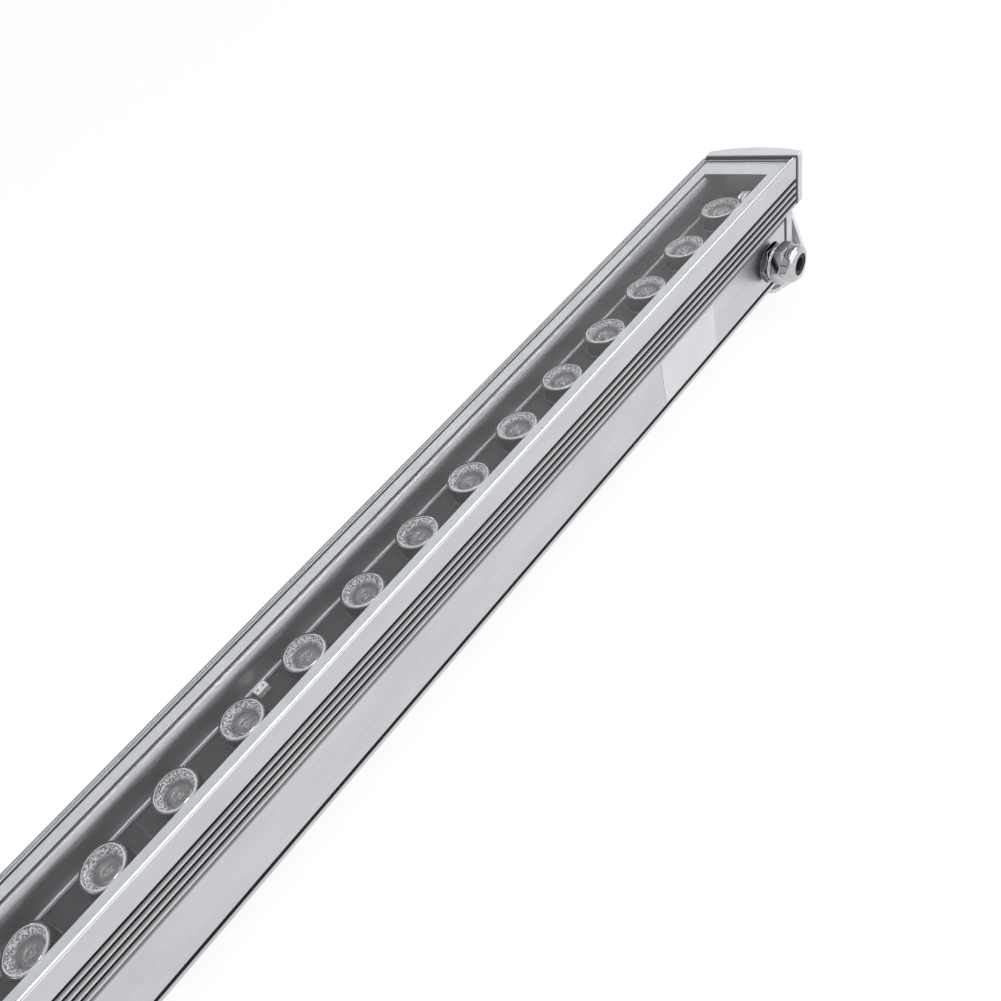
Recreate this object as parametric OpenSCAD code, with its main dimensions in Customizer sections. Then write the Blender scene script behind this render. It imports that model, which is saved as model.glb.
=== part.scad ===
// Outdoor linear wall washer light: a finned extruded channel with a glass front,
// a row of collimator lenses, bolted end caps, a cable gland and two tilting brackets.
// X runs along the lamp, Y across it with the gland on the +Y side, Z up towards the glass.

/* [Housing] */
// Length of the extruded channel
body_l = 1000; // [600:1:1400]
// Width of the step under each flange, down to the narrow lower body
step_w = 7.3; // [6.5:0.1:8]
// Wall thickness of the lower chamber
wall = 2.2; // [1.6:0.1:2.8]
// Thickness of the chamber floor
floor_t = 2.5; // [2:0.1:4]
// Thickness of the shelf that carries the boards
shelf_t = 3; // [2:0.1:4]
// Width of each lip beside the glass
lip_t = 1.9; // [1.4:0.1:2.6]
// Rounding of the outer edge of each lip
lip_r = 0.9; // [0.4:0.1:1.2]
// Height of the plain band above the fins
band_h = 11.8; // [9:0.1:13]
// Number of grooves in each flange
groove_n = 4; // [2:1:5]
// Distance from one groove to the next
groove_pitch = 4; // [3.6:0.1:4.4]
// Height of one groove
groove_w = 1.7; // [1.4:0.1:1.9]
// Depth of one groove
groove_d = 2.5; // [1.8:0.1:2.6]
// Rounding of the upper shoulder of the fins
shoulder_r = 1.3; // [0.8:0.1:1.4]
// Rounding of the lower edge of the fins
fin_r = 0.25; // [0.1:0.05:0.3]
// Depth of the groove in the corner under each flange
corner_groove_d = 1.3; // [0.8:0.1:1.4]
// Height of the bottom rail
rail_h = 2.4; // [2:0.1:3.5]
// Height of the groove above the bottom rail
rail_groove_h = 2.4; // [1.5:0.1:2.8]
// Depth of the groove above the bottom rail
rail_groove_d = 2; // [1:0.1:2]
// Thickness of the wall beside the optics
trough_wall = 2.4; // [2:0.1:3]

/* [Glass] */
// Thickness of the tempered glass
glass_t = 3.2; // [3:0.1:5]
// Depth of the glass below the lip
glass_recess = 0.7; // [0.3:0.1:1.2]
// Width of the silicone bead round the glass
seal_w = 1.2; // [0.8:0.1:2]
// Width of the printed border beside the clear window
print_border = 6.25; // [5.5:0.05:7.5]
// Distance from each end of the channel to the clear window
window_end = 14.3; // [10:0.1:18]
// Thickness of the printed border under the glass
print_t = 0.2; // [0.1:0.05:0.4]
// Width of the ledge that carries the glass
seat_w = 4.5; // [3.5:0.1:5]
// Thickness of the ledge that carries the glass
seat_t = 2; // [1.5:0.1:2.5]

/* [Optics] */
// Distance from one lens to the next
led_pitch = 40.65; // [34:0.05:48]
// Least distance from the last lens to the end of the channel
led_end_room = 30; // [28:0.5:60]
// Diameter of a lens across its flange
lens_d = 21.7; // [18:0.1:25]
// Height of a lens above the board
lens_h = 9; // [8:0.1:10]
// Thickness of the flange of a lens
lens_flange_t = 1.3; // [1:0.1:1.6]
// Wall thickness of a lens holder beside the lens
holder_wall = 0.65; // [0.5:0.05:0.8]
// Depth of the board below the lip
board_drop = 22; // [20:0.1:23]
// Thickness of the boards
board_t = 1.6; // [1.2:0.1:2]
// Gap between the two boards
board_gap = 0.5; // [0.3:0.1:1]
// Thickness of the thermal pad under the boards
pad_t = 0.4; // [0.3:0.1:1]
// Thickness of the reflector sheet
reflector_t = 0.8; // [0.6:0.1:1]
// Gap from a lens holder to the foot of a reflector
reflector_gap = 1.9; // [1.5:0.1:4]
// Radius of the rounded shoulder of a reflector
reflector_r = 5; // [4:0.1:6]
// Width of the flat rim of a reflector under the printed border
reflector_rim = 1.6; // [1:0.1:3]
// Width of the foot of a reflector that lies on the boards
reflector_foot = 2.3; // [1.8:0.1:2.6]

/* [End caps] */
// Thickness of the rubber end gasket
gasket_t = 3; // [2:0.1:4]
// Distance that the gasket lies inside the outline of the cap
gasket_inset = 0.8; // [0.4:0.1:1.2]
// Width of the gasket
gasket_band = 8.2; // [8:0.1:9]
// Thickness of an end cap at its sides
cap_edge_t = 4.4; // [4:0.1:6]
// Height of the bow of an end cap's outer face
cap_bow = 4.4; // [3:0.1:6]
// Radius of the end cap screws
cap_screw_r = 2; // [1.5:0.1:2]
// Radius of the heads of the end cap screws
cap_head_r = 3.5; // [3:0.1:3.5]
// Height of the heads of the end cap screws
cap_head_h = 2.4; // [1.8:0.1:2.8]
// Length of the end cap screws below the head
cap_screw_l = 16; // [12:0.5:25]
// Radius of the screw ports inside the channel
port_r = 3.6; // [3.2:0.1:3.8]
// Distance of the upper screw ports from the side of the lower body
port_up_in = 3.7; // [3:0.1:4.5]
// Wall of the shell outside the cores of the upper ports
port_skin = 2.6; // [2.4:0.1:3]

/* [Brackets] */
// Thickness of the bracket plate
bracket_t = 2.5; // [2:0.1:3]
// Radius of the round top of a bracket
bracket_top_r = 16.4; // [12:0.1:18]
// Width of a bracket at its foot
bracket_w = 54; // [44:0.5:60]
// Slope of the flanks of a bracket, in degrees from upright
bracket_flank = 18.8; // [14:0.2:24]
// Length of the foot of a bracket, from the outside of its leg
foot_l = 24.5; // [22:0.1:26]
// Width of the foot of a bracket at its free end
foot_end_w = 42; // [40:0.5:46]
// Inner radius of the bend of a bracket
bend_r = 2; // [1:0.1:2.5]
// Width of the slots in a foot
slot_w = 5.5; // [4.5:0.1:6.5]
// Length of the slots in a foot
slot_l = 10; // [8:0.1:11]
// Distance between the two slots of a foot
slot_gap = 30; // [26:0.5:32]
// Room between the foot of a bracket and the turning lamp
swing_gap = 0.7; // [0.5:0.1:3]
// Depth of the tilt axis below the lip
pivot_drop = 36.3; // [34:0.1:40]
// Radius of the shank of a pivot bolt
bolt_r = 3; // [2.5:0.1:3.2]
// Radial clearance of a pivot bolt in its bracket
bolt_fit = 0.08; // [0.04:0.01:0.1]

/* [Cable gland] */
// Distance of the gland from the far end of the channel
gland_x = 22.4; // [22:0.1:60]
// Room between the step of the channel and the rubber washer
gland_room = 6.1; // [4:0.1:8]
// Radius of the thread of the gland
gland_r = 8; // [7:0.1:8.5]
// Width across the flats of the hexagons of the gland's body and locknut
gland_af = 20; // [18:0.1:21]
// Width across the flats of the gland's dome nut
nut_af = 21; // [20:0.1:22]
// Radius of the rubber washer
gland_washer_r = 9.6; // [9:0.1:10.5]
// Radius of the cable passage through the sealing insert
cable_r = 4; // [2.5:0.1:5]

/* [Driver] */
// Length of the driver board
driver_l = 160; // [120:1:240]
// Width of the driver board
driver_w = 24; // [20:0.5:26]
// Height of the spacers under the driver board
driver_spacer_h = 8; // [6:0.5:10]

/* [Hidden] */
$fn = 64;

// Overrun of every cut past the face that it opens
over = 1;
// Clearance round a screw or a seated piece
fit = 0.05;
// Radial clearance of a lens in its holder
lens_fit = 0.1;
// Angle of the turned corners of a hexagon
hex_bevel = 32;

// Widths of the head, built outwards from a lens: holder, reflector, glass seat and lip
holder_r = lens_d / 2 + lens_fit + holder_wall;
reflector_in_y = holder_r + reflector_gap;
reflector_wall_y = reflector_in_y + reflector_foot;
seat_gap = 0.2;
seat_in_w = 2 * (reflector_wall_y + reflector_r + reflector_rim + seat_gap);
flange_w = seat_in_w + 2 * (seat_w + lip_t);
low_w = flange_w - 2 * step_w;

// Heights of the section, built down from the lip past the gland to the floor
nut_gap = 2.1;
flange_h = band_h + groove_n * groove_pitch;
gland_drop = flange_h + step_w + gland_room + gland_washer_r;
floor_drop = gland_drop + gland_af / 2 + nut_gap + 2 * port_r;
body_h = floor_drop + floor_t;
half_l = body_l / 2;
glass_w = flange_w - 2 * lip_t - 2 * seal_w;
seat_drop = glass_recess + glass_t + print_t;
window_w = glass_w - 2 * print_border;
trough_w = flange_w - 2 * groove_d - 2 * trough_wall;
shelf_drop = board_drop + board_t + pad_t;
chamber_drop = shelf_drop + shelf_t;
chamber_w = low_w - 2 * wall;

// Tilt axis and heights
corner_reach = norm([low_w / 2, body_h - pivot_drop]);
pivot_z = bracket_t + swing_gap + corner_reach;
lip_z = pivot_z + pivot_drop;
board_z = lip_z - board_drop;

// Places along the lamp
cap_in_x = half_l + gasket_t;
cap_top_t = cap_edge_t + cap_bow;
cap_r = (pow(flange_w / 2, 2) + pow(cap_bow, 2)) / (2 * cap_bow);
boss_r = 9;
boss_t = 0.6;
boss_x = cap_in_x + cap_top_t + boss_t;
spacer_r = 8;
spacer_t = 1;
plate_gap = 0.1;
leg_x = boss_x + spacer_t + plate_gap;
washer_x = leg_x + bracket_t + plate_gap;
washer_r = 6.2;
washer_t = 1.2;
spring_r = 5.2;
spring_t = 1.6;
bolt_af = 10;
bolt_head_h = 4;
bolt_socket_r = 2.6;
bolt_socket_d = 2.2;
bolt_depth = 6.5;

// Screw ports, measured from the middle and from the lip
port_up_y = low_w / 2 - port_up_in;
port_core_r = cap_screw_r + fit;
port_up_drop = flange_h + flange_w / 2 - port_up_y - (port_core_r + port_skin) * sqrt(2);
port_low_y = chamber_w / 2 - port_r;
port_low_drop = floor_drop - port_r;
ports = [[port_up_y, port_up_drop], [port_low_y, port_low_drop]];
pocket_floor = 2.6;

// Lens profile
lens_r = lens_d / 2;
lens_top_r = lens_r - 0.75;
lens_rise = 0.8;
lens_foot_r = 5;
lens_foot_h = 1;
lens_cup_r = 2.7;
lens_cup_h = 3.2;
lens_shoulder = 0.75;
holder_in_r = lens_r + lens_fit;
holder_ledge = 0.75;
emitter_w = 3.45;
emitter_h = 0.8;
emitter_dome_r = 1.3;

// Boards, with as many lenses as their length takes
leds_per_board = floor((half_l - led_end_room) / led_pitch + 0.5);
board_side_gap = 0.3;
board_w = 2 * (reflector_wall_y - board_side_gap);

// Reflector heights, from its rim under the glass to its foot on the boards
reflector_top_drop = seat_drop + 1.3;
reflector_bend_drop = reflector_top_drop + reflector_r;
reflector_foot_drop = board_drop - reflector_t;
reflector_foot_r = 1.2;
bead_h = 0.5;
bead_w = 0.6;

// Board screws and the leads
board_screw_r = 1.5;
board_head_r = 2.6;
board_head_h = 1.8;
board_part_gap = 0.3;
board_screw_y = reflector_in_y - board_head_r - board_part_gap;
connector_size = [7, 4.5, 3];
connector_gap = 0.85;
connector_y = reflector_in_y - connector_gap - connector_size[1] / 2;
connector_shift = 3.3;
connector_x = 2 * led_pitch - connector_shift;
lead_r = 1.1;
lead_bend = 3;
lead_x = 11;
lead_run = 9;
lead_y = 5.4;
lead_gap = 2.8;
lead_top_drop = 15.5;
lead_foot_drop = 54;
grommet_r = 5.2;
grommet_hole_r = 4.2;
grommet_bore_r = 3;
grommet_lip = 0.8;

// Gland stations along its axis, outwards from the side of the lower body
gland_washer_t = 1.3;
gland_hex_t = 3.5;
gland_neck_l = 2.4;
gland_neck_r = 9;
nut_hex_t = 6.4;
dome_shoulder_r = 10.6;
dome_side_l = 4;
dome_corner_r = 3.4;
dome_l = dome_side_l + dome_corner_r;
gland_bore_r = 6.3;
gland_shank_l = 10;
locknut_t = 4;
insert_back = 6;
insert_recess = 0.5;

// Driver places
driver_x = 42;
driver_t = 1.6;
driver_spacer_r = 3;
driver_screw_r = 1.5;
driver_head_r = 2.7;
driver_head_h = 1.8;
driver_hole_inset = 5;
transformer_size = [24, 17, 13];
transformer_share = 0.45;
capacitor_r = 5;
capacitor_l = 14;
capacitor_shares = [0.2, 0.68, 0.78];
terminal_size = [8, 16, 9];

// Blank label on the side of the lower body
label_x = 84;
label_l = 56;
label_h = 28.2;
label_t = 0.2;
label_drop = 38.8;

silver = [0.80, 0.80, 0.82];
pale_print = [0.84, 0.88, 0.90];
steel = [0.75, 0.76, 0.78];
chrome = [0.86, 0.87, 0.89];
black_rubber = [0.10, 0.10, 0.11];
board_black = [0.13, 0.13, 0.14];
white_plastic = [0.92, 0.92, 0.90];

// Mirrors the right half of an outline, given from top to bottom, to both sides
function both(half) = concat(half, [for (i = [len(half) - 1:-1:0]) [-half[i][0], half[i][1]]]);

// Right half of the body's outline, drawn in by i all round
function outline_half(i) = [
    [0, -i],
    [flange_w / 2 - i, -i],
    [flange_w / 2 - i, -flange_h + i * tan(22.5)],
    [low_w / 2 - i, -flange_h - step_w + i * tan(22.5)],
    [low_w / 2 - i, -body_h + i],
    [0, -body_h + i]];

// Extrudes a section drawn in Y and Z from x0 for a length l
module along_x(x0, l) {
    translate([x0, 0, 0]) rotate([90, 0, 90]) linear_extrude(l) children();
}
// The same, for a section whose zero is at the lip
module lip_section(x0, l) {
    along_x(x0, l) translate([0, lip_z]) children();
}
module rod_x(x0, y, z, r, l) {
    translate([x0, y, z]) rotate([0, 90, 0]) cylinder(r = r, h = l);
}
module rod_y(x, y0, z, r, l) {
    translate([x, y0, z]) rotate([-90, 0, 0]) cylinder(r = r, h = l);
}
// Hexagon prism along Z with the corners of both ends turned off
module hex_prism(af, l) {
    corner = af / sqrt(3);
    bevel = (corner - af / 2) * tan(hex_bevel);
    intersection() {
        cylinder(r = corner, h = l, $fn = 6);
        rotate_extrude() polygon([
            [0, 0], [af / 2, 0], [corner, bevel], [corner, l - bevel], [af / 2, l], [0, l]]);
    }
}
module both_sides() {
    children();
    mirror([1, 0]) children();
}
module both_ends() {
    children();
    mirror([1, 0, 0]) children();
}

// Area taken off a square corner to round it
module corner_cut(r) {
    difference() {
        square(r + over);
        circle(r);
    }
}
// One groove of depth d, with the shoulder of the fin below it rounded
module groove_cut(d) {
    translate([-d, -groove_w]) square([d + over, groove_w]);
    translate([-shoulder_r, -groove_w - shoulder_r]) corner_cut(shoulder_r);
}
// Takes the sharp edge off the fin above a groove
module fin_edge_cut() {
    translate([-fin_r, fin_r]) mirror([0, 1]) corner_cut(fin_r);
}
module body_outline() {
    difference() {
        polygon(both(outline_half(0)));
        both_sides() translate([flange_w / 2 - lip_r, -lip_r]) corner_cut(lip_r);
    }
}
module trough_area() {
    translate([-flange_w / 2 + lip_t, -seat_drop])
        square([flange_w - 2 * lip_t, seat_drop + over]);
    translate([-seat_in_w / 2, -seat_drop - seat_t - over])
        square([seat_in_w, seat_t + 2 * over]);
    translate([-trough_w / 2, -shelf_drop])
        square([trough_w, shelf_drop - seat_drop - seat_t]);
}
module chamber_area() {
    slope = flange_h + flange_w / 2 - wall * sqrt(2);
    top_y = slope - chamber_drop - wall;
    thick_y = chamber_w / 2 - corner_groove_d;
    thick_drop = flange_h + step_w + groove_w + shoulder_r;
    polygon(both([
        [0, -chamber_drop],
        [top_y, -chamber_drop],
        [top_y, -slope + top_y],
        [thick_y, -slope + thick_y],
        [thick_y, -thick_drop],
        [chamber_w / 2, -thick_drop - corner_groove_d],
        [chamber_w / 2, -floor_drop],
        [0, -floor_drop]]));
}
module port_bosses() {
    translate([port_up_y, -port_up_drop]) {
        circle(port_r);
        translate([-port_r, 0]) square([2 * port_r, port_up_drop - chamber_drop + fit]);
    }
    translate([port_low_y, -port_low_drop]) {
        circle(port_r);
        translate([0, -port_r - fit]) square([port_r + fit, 2 * port_r + fit]);
    }
}

module housing() {
    color(silver) difference() {
        lip_section(-half_l, body_l) difference() {
            body_outline();
            trough_area();
            difference() {
                chamber_area();
                both_sides() port_bosses();
            }
            both_sides() {
                for (i = [0:groove_n - 1])
                    translate([flange_w / 2, -band_h - i * groove_pitch]) {
                        groove_cut(groove_d);
                        fin_edge_cut();
                    }
                translate([low_w / 2, -flange_h - step_w]) groove_cut(corner_groove_d);
                translate([low_w / 2 - rail_groove_d, -body_h + rail_h])
                    square([rail_groove_d + over, rail_groove_h]);
                for (p = ports) translate([p[0], -p[1]]) circle(port_core_r);
            }
        }
        rod_y(-half_l + gland_x, chamber_w / 2 - over, lip_z - gland_drop,
            gland_r + fit, wall + 2 * over);
        translate([-half_l + lead_x, lead_y, lip_z - chamber_drop - over])
            cylinder(r = grommet_hole_r + fit, h = shelf_t + 2 * over);
    }
}

module glass_cover() {
    color([0.80, 0.88, 0.90, 0.4])
        translate([-half_l + seal_w, -glass_w / 2, lip_z - glass_recess - glass_t])
        cube([body_l - 2 * seal_w, glass_w, glass_t]);
}
module glass_print() {
    color(pale_print) translate([0, 0, lip_z - seat_drop]) difference() {
        translate([-half_l + seal_w, -glass_w / 2, 0])
            cube([body_l - 2 * seal_w, glass_w, print_t]);
        translate([-half_l + window_end, -window_w / 2, -over])
            cube([body_l - 2 * window_end, window_w, print_t + 2 * over]);
    }
}
module glass_sealant() {
    color([0.35, 0.38, 0.40]) translate([0, 0, lip_z - seat_drop]) difference() {
        translate([-half_l, -glass_w / 2 - seal_w, 0])
            cube([body_l, glass_w + 2 * seal_w, seat_drop - 2 * glass_recess]);
        translate([-half_l + seal_w, -glass_w / 2, -over])
            cube([body_l - 2 * seal_w, glass_w, seat_drop + over]);
    }
}

// Quarter of a ring, its centre at zero, spanning +X and +Y of the section
module quarter_ring(r_in, r_out) {
    intersection() {
        difference() {
            circle(r_out);
            circle(r_in);
        }
        square(r_out);
    }
}
// Bent sheet: beaded rim, rounded shoulder, upright wall and a foot on the boards
module reflector_section() {
    wall_y = reflector_wall_y;
    fillet_r = reflector_foot_r;
    translate([wall_y + reflector_r, -reflector_bend_drop]) {
        mirror([1, 0]) quarter_ring(reflector_r - reflector_t, reflector_r);
        translate([0, reflector_r - reflector_t]) square([reflector_rim, reflector_t]);
        translate([0, reflector_r - reflector_t]) square([bead_w, reflector_t + bead_h]);
    }
    translate([wall_y, -reflector_foot_drop + fillet_r])
        square([reflector_t, reflector_foot_drop - reflector_bend_drop - fillet_r]);
    translate([wall_y - fillet_r, -reflector_foot_drop + fillet_r])
        mirror([0, 1]) quarter_ring(fillet_r, fillet_r + reflector_t);
    translate([wall_y - reflector_foot, -reflector_foot_drop - reflector_t])
        square([reflector_foot - fillet_r, reflector_t]);
}
module reflector_right() {
    color(silver) lip_section(-half_l, body_l) reflector_section();
}
module reflector_left() {
    mirror([0, 1, 0]) reflector_right();
}

module thermal_pad() {
    color([0.62, 0.66, 0.70]) difference() {
        translate([-half_l + board_gap, -board_w / 2, board_z - board_t - pad_t])
            cube([body_l - 2 * board_gap, board_w, pad_t]);
        translate([-half_l + lead_x, lead_y, board_z - board_t - pad_t - over])
            cylinder(r = grommet_r + fit, h = pad_t + 2 * over);
    }
}
function screw_places() = [for (i = [1:2:leds_per_board - 1]) i - leds_per_board];
module board_plate() {
    difference() {
        translate([-half_l + board_gap, -board_w / 2, board_z - board_t])
            cube([half_l - 1.5 * board_gap, board_w, board_t]);
        for (k = screw_places())
            translate([k * led_pitch, board_screw_y, board_z - board_t - over])
                cylinder(r = board_screw_r + fit, h = board_t + 2 * over);
    }
}
module led_board_far() {
    color(board_black) difference() {
        board_plate();
        translate([-half_l + lead_x, lead_y, board_z - board_t - over])
            cylinder(r = grommet_r + fit, h = board_t + 2 * over);
    }
}
module led_board_near() {
    color(board_black) mirror([1, 0, 0]) board_plate();
}
module board_screws() {
    color(steel) both_ends() for (k = screw_places()) {
        translate([k * led_pitch, board_screw_y, board_z]) difference() {
            cylinder(r = board_head_r, h = board_head_h);
            translate([-board_head_r / 2, -board_screw_r / 6, board_head_h / 2])
                cube([board_head_r, board_screw_r / 3, board_head_h]);
            translate([-board_screw_r / 6, -board_head_r / 2, board_head_h / 2])
                cube([board_screw_r / 3, board_head_r, board_head_h]);
        }
        translate([k * led_pitch, board_screw_y, board_z - board_t])
            cylinder(r = board_screw_r, h = board_t);
    }
}
module board_connectors() {
    color(white_plastic)
        for (x = [-connector_x, connector_x])
            translate([x - connector_size[0] / 2, -connector_y - connector_size[1] / 2, board_z])
                difference() {
                    cube(connector_size);
                    for (s = [-1, 1])
                        translate([connector_size[0] / 2 + s * connector_size[0] / 4,
                            connector_size[1] / 2, connector_size[2] / 2])
                            cylinder(r = connector_size[1] / 6, h = connector_size[2]);
                }
}

// Centres of the emitters of the far board
function led_places() = [for (i = [0:leds_per_board - 1]) (i + 0.5 - leds_per_board) * led_pitch];
module on_board() {
    for (x = led_places()) translate([x, 0, board_z]) children();
}
module led_emitters() {
    color([0.95, 0.85, 0.45]) both_ends() on_board() {
        translate([-emitter_w / 2, -emitter_w / 2, 0]) cube([emitter_w, emitter_w, emitter_h]);
        translate([0, 0, emitter_h]) intersection() {
            sphere(emitter_dome_r);
            cylinder(r = 2 * emitter_dome_r, h = 2 * emitter_dome_r);
        }
    }
}
module lens() {
    flange_z = lens_h - lens_rise;
    rotate_extrude() polygon([
        [0, lens_cup_h],
        [lens_cup_r, lens_cup_h],
        [lens_cup_r, lens_foot_h],
        [lens_foot_r, lens_foot_h],
        [lens_r - lens_shoulder, flange_z - lens_flange_t],
        [lens_r, flange_z - lens_flange_t],
        [lens_r, flange_z],
        [lens_top_r, flange_z],
        [lens_top_r - lens_rise / 2, lens_h],
        [0, lens_h]]);
}
module holder() {
    flange_z = lens_h - lens_rise;
    rotate_extrude() polygon([
        [holder_in_r - holder_ledge, 0],
        [holder_r, 0],
        [holder_r, flange_z],
        [holder_in_r, flange_z],
        [holder_in_r, flange_z - lens_flange_t],
        [holder_in_r - holder_ledge + lens_fit, flange_z - lens_flange_t]]);
}
module lens_holders_far() {
    color(black_rubber) on_board() holder();
}
module lens_holders_near() {
    color(black_rubber) mirror([1, 0, 0]) on_board() holder();
}
module lenses_far() {
    color([0.90, 0.92, 0.94, 0.6]) on_board() lens();
}
module lenses_near() {
    color([0.90, 0.92, 0.94, 0.6]) mirror([1, 0, 0]) on_board() lens();
}

// Holes through the gasket and the cap for the four screws of one end
module screw_pattern(r) {
    both_sides() for (p = ports) translate([p[0], -p[1]]) circle(r);
}
module end_gasket_near() {
    color(black_rubber) lip_section(half_l, gasket_t) difference() {
        polygon(both(outline_half(gasket_inset)));
        polygon(both(outline_half(gasket_inset + gasket_band)));
        screw_pattern(cap_screw_r + fit);
    }
}
module end_gasket_far() {
    mirror([1, 0, 0]) end_gasket_near();
}
module end_cap_near() {
    color(silver) difference() {
        union() {
            intersection() {
                lip_section(cap_in_x, cap_top_t) body_outline();
                translate([cap_in_x + cap_top_t - cap_r, 0, 0])
                    cylinder(r = cap_r, h = lip_z + over, $fn = 180);
            }
            rod_x(cap_in_x, 0, pivot_z, boss_r, cap_top_t + boss_t);
        }
        lip_section(cap_in_x - over, cap_top_t + 2 * over) screw_pattern(cap_screw_r + fit);
        lip_section(cap_in_x + pocket_floor, cap_top_t) screw_pattern(cap_head_r + 4 * fit);
        rod_x(boss_x - bolt_depth, 0, pivot_z, bolt_r + fit, bolt_depth + over);
    }
}
module end_cap_far() {
    mirror([1, 0, 0]) end_cap_near();
}
module end_cap_screws() {
    cross = cap_head_r / 4;
    color(steel) both_ends() for (s = [-1, 1], p = ports) {
        translate([cap_in_x + pocket_floor, s * p[0], lip_z - p[1]]) {
            rotate([0, -90, 0]) cylinder(r = cap_screw_r, h = cap_screw_l);
            difference() {
                rotate([0, 90, 0]) cylinder(r = cap_head_r, h = cap_head_h);
                translate([cap_head_h / 2, -cross / 2, -cap_head_r / 2])
                    cube([cap_head_h, cross, cap_head_r]);
                translate([cap_head_h / 2, -cap_head_r / 2, -cross / 2])
                    cube([cap_head_h, cap_head_r, cross]);
            }
        }
    }
}

// Leg of a bracket in Y and Z: a round top on the tilt axis, sloped flanks, upright sides
module leg_section() {
    tan_y = bracket_top_r * cos(bracket_flank);
    tan_z = bracket_top_r * sin(bracket_flank);
    side_z = pivot_z + tan_z - (bracket_w / 2 - tan_y) / tan(bracket_flank);
    translate([0, pivot_z]) circle(bracket_top_r);
    polygon([
        [tan_y, pivot_z + tan_z], [bracket_w / 2, side_z],
        [bracket_w / 2, bracket_t + bend_r], [-bracket_w / 2, bracket_t + bend_r],
        [-bracket_w / 2, side_z], [-tan_y, pivot_z + tan_z]]);
}
module foot_plan() {
    out_x = leg_x + bracket_t;
    end_r = foot_end_w / 2 - slot_gap / 2;
    start_x = leg_x - bend_r;
    difference() {
        union() {
            polygon([
                [start_x, -bracket_w / 2], [start_x, bracket_w / 2],
                [out_x - foot_l + end_r, foot_end_w / 2],
                [out_x - foot_l, slot_gap / 2], [out_x - foot_l, -slot_gap / 2],
                [out_x - foot_l + end_r, -foot_end_w / 2]]);
            for (s = [-1, 1]) translate([out_x - foot_l + end_r, s * slot_gap / 2]) circle(end_r);
        }
        for (s = [-1, 1]) translate([foot_slot_x, s * slot_gap / 2]) slot_plan();
    }
}
foot_slot_x = leg_x - bend_r - (foot_l - bracket_t - bend_r) / 2;
module slot_plan() {
    run = slot_l - slot_w;
    square([run, slot_w], center = true);
    for (s = [-1, 1]) translate([s * run / 2, 0]) circle(slot_w / 2);
}
module bracket_near() {
    color(steel) {
        difference() {
            along_x(leg_x, bracket_t) leg_section();
            rod_x(leg_x - over, 0, pivot_z, bolt_r + bolt_fit, bracket_t + 2 * over);
        }
        linear_extrude(bracket_t) foot_plan();
        translate([leg_x - bend_r, bracket_w / 2, bracket_t + bend_r]) rotate([90, 0, 0])
            linear_extrude(bracket_w) intersection() {
                difference() {
                    circle(bend_r + bracket_t);
                    circle(bend_r);
                }
                translate([0, -bend_r - bracket_t]) square(bend_r + bracket_t);
            }
    }
}
module bracket_far() {
    mirror([1, 0, 0]) bracket_near();
}
module pivot_bolts() {
    head_x = washer_x + washer_t + spring_t;
    color(chrome) both_ends() {
        rod_x(boss_x - bolt_depth + over, 0, pivot_z, bolt_r, head_x - boss_x + bolt_depth - over);
        difference() {
            translate([head_x, 0, pivot_z]) rotate([0, 90, 0]) hex_prism(bolt_af, bolt_head_h);
            translate([head_x + bolt_head_h - bolt_socket_d, 0, pivot_z]) rotate([0, 90, 0])
                cylinder(r = bolt_socket_r, h = bolt_socket_d + over, $fn = 6);
        }
    }
}
module ring_x(x0, r, t) {
    difference() {
        rod_x(x0, 0, pivot_z, r, t);
        rod_x(x0 - over, 0, pivot_z, bolt_r + fit, t + 2 * over);
    }
}
module pivot_spacers() {
    color(white_plastic) both_ends() ring_x(boss_x, spacer_r, spacer_t);
}
module pivot_washers() {
    color(steel) both_ends() ring_x(washer_x, washer_r, washer_t);
}
module spring_washers() {
    color(steel) both_ends() difference() {
        ring_x(washer_x + washer_t, spring_r, spring_t);
        translate([washer_x + washer_t - over, -spring_t / 4, pivot_z])
            cube([spring_t + 2 * over, spring_t / 2, spring_r + over]);
    }
}

// Places a piece of the gland: its axis is +Z of the piece, zero at the body's side
module at_gland() {
    translate([-half_l + gland_x, low_w / 2, lip_z - gland_drop]) rotate([-90, 0, 0]) children();
}
nut_z = gland_washer_t + gland_hex_t + gland_neck_l;
module gland_washer() {
    color(black_rubber) at_gland() difference() {
        cylinder(r = gland_washer_r, h = gland_washer_t);
        translate([0, 0, -over]) cylinder(r = gland_r + fit, h = gland_washer_t + 2 * over);
    }
}
module gland_body() {
    color(chrome) at_gland() difference() {
        union() {
            translate([0, 0, -gland_shank_l]) cylinder(r = gland_r, h = gland_shank_l + gland_washer_t);
            translate([0, 0, gland_washer_t]) hex_prism(gland_af, gland_hex_t);
            translate([0, 0, gland_washer_t + gland_hex_t])
                cylinder(r = gland_neck_r, h = gland_neck_l);
        }
        translate([0, 0, -gland_shank_l - over])
            cylinder(r = gland_bore_r, h = gland_shank_l + nut_z + 2 * over);
    }
}
// Half section of the dome: an upright side and a big round corner
module dome_half() {
    square([dome_shoulder_r, dome_side_l]);
    square([dome_shoulder_r - dome_corner_r, dome_l]);
    translate([dome_shoulder_r - dome_corner_r, dome_side_l]) intersection() {
        circle(dome_corner_r);
        square(dome_corner_r);
    }
}
module gland_dome_nut() {
    end_z = nut_z + nut_hex_t;
    color(chrome) at_gland() difference() {
        union() {
            translate([0, 0, nut_z]) hex_prism(nut_af, nut_hex_t);
            translate([0, 0, end_z]) rotate_extrude() dome_half();
        }
        translate([0, 0, nut_z - over]) cylinder(r = gland_bore_r, h = nut_hex_t + dome_l + 2 * over);
    }
}
module gland_insert() {
    length = nut_hex_t + dome_l + insert_back - insert_recess;
    color(black_rubber) at_gland() translate([0, 0, nut_z - insert_back]) difference() {
        cylinder(r = gland_bore_r - fit, h = length);
        translate([0, 0, -over]) cylinder(r = cable_r, h = length + 2 * over);
    }
}
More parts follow.
